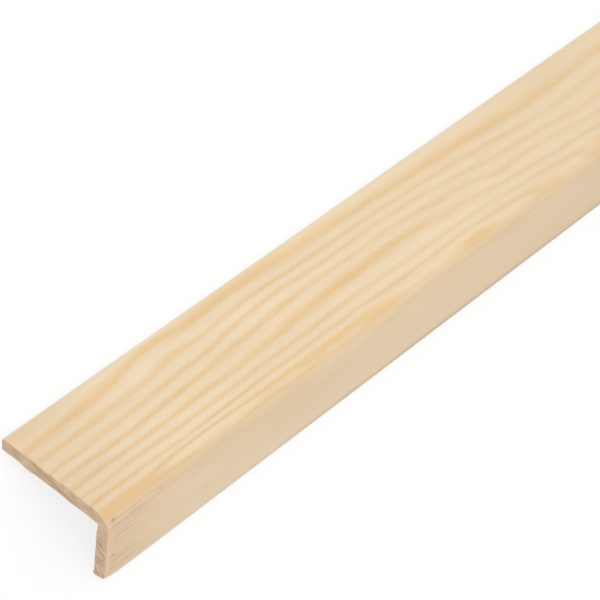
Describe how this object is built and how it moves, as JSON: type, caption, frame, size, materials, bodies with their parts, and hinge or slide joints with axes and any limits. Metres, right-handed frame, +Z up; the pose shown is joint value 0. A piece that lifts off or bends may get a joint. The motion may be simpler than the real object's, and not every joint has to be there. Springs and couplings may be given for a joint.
{
  "type": "corner guard moulding",
  "caption": "Unfinished pine angle moulding with a wide and a narrow leg, a rounded nose and eased free edges, glued or pinned over an outside corner to guard and trim it.",
  "frame": {"origin": "on the floor, midway along the strip and midway between the outermost points of its section", "axes": "+Z up, +Y along the length, +X from the wide leg's free edge towards the narrow leg"},
  "size_m": [0.0468, 1, 0.0216],
  "materials": {
    "pine": "planed, unfinished"
  },
  "bodies": {
    "root": {"corner_moulding": "pine"}
  },
  "joints": []
}
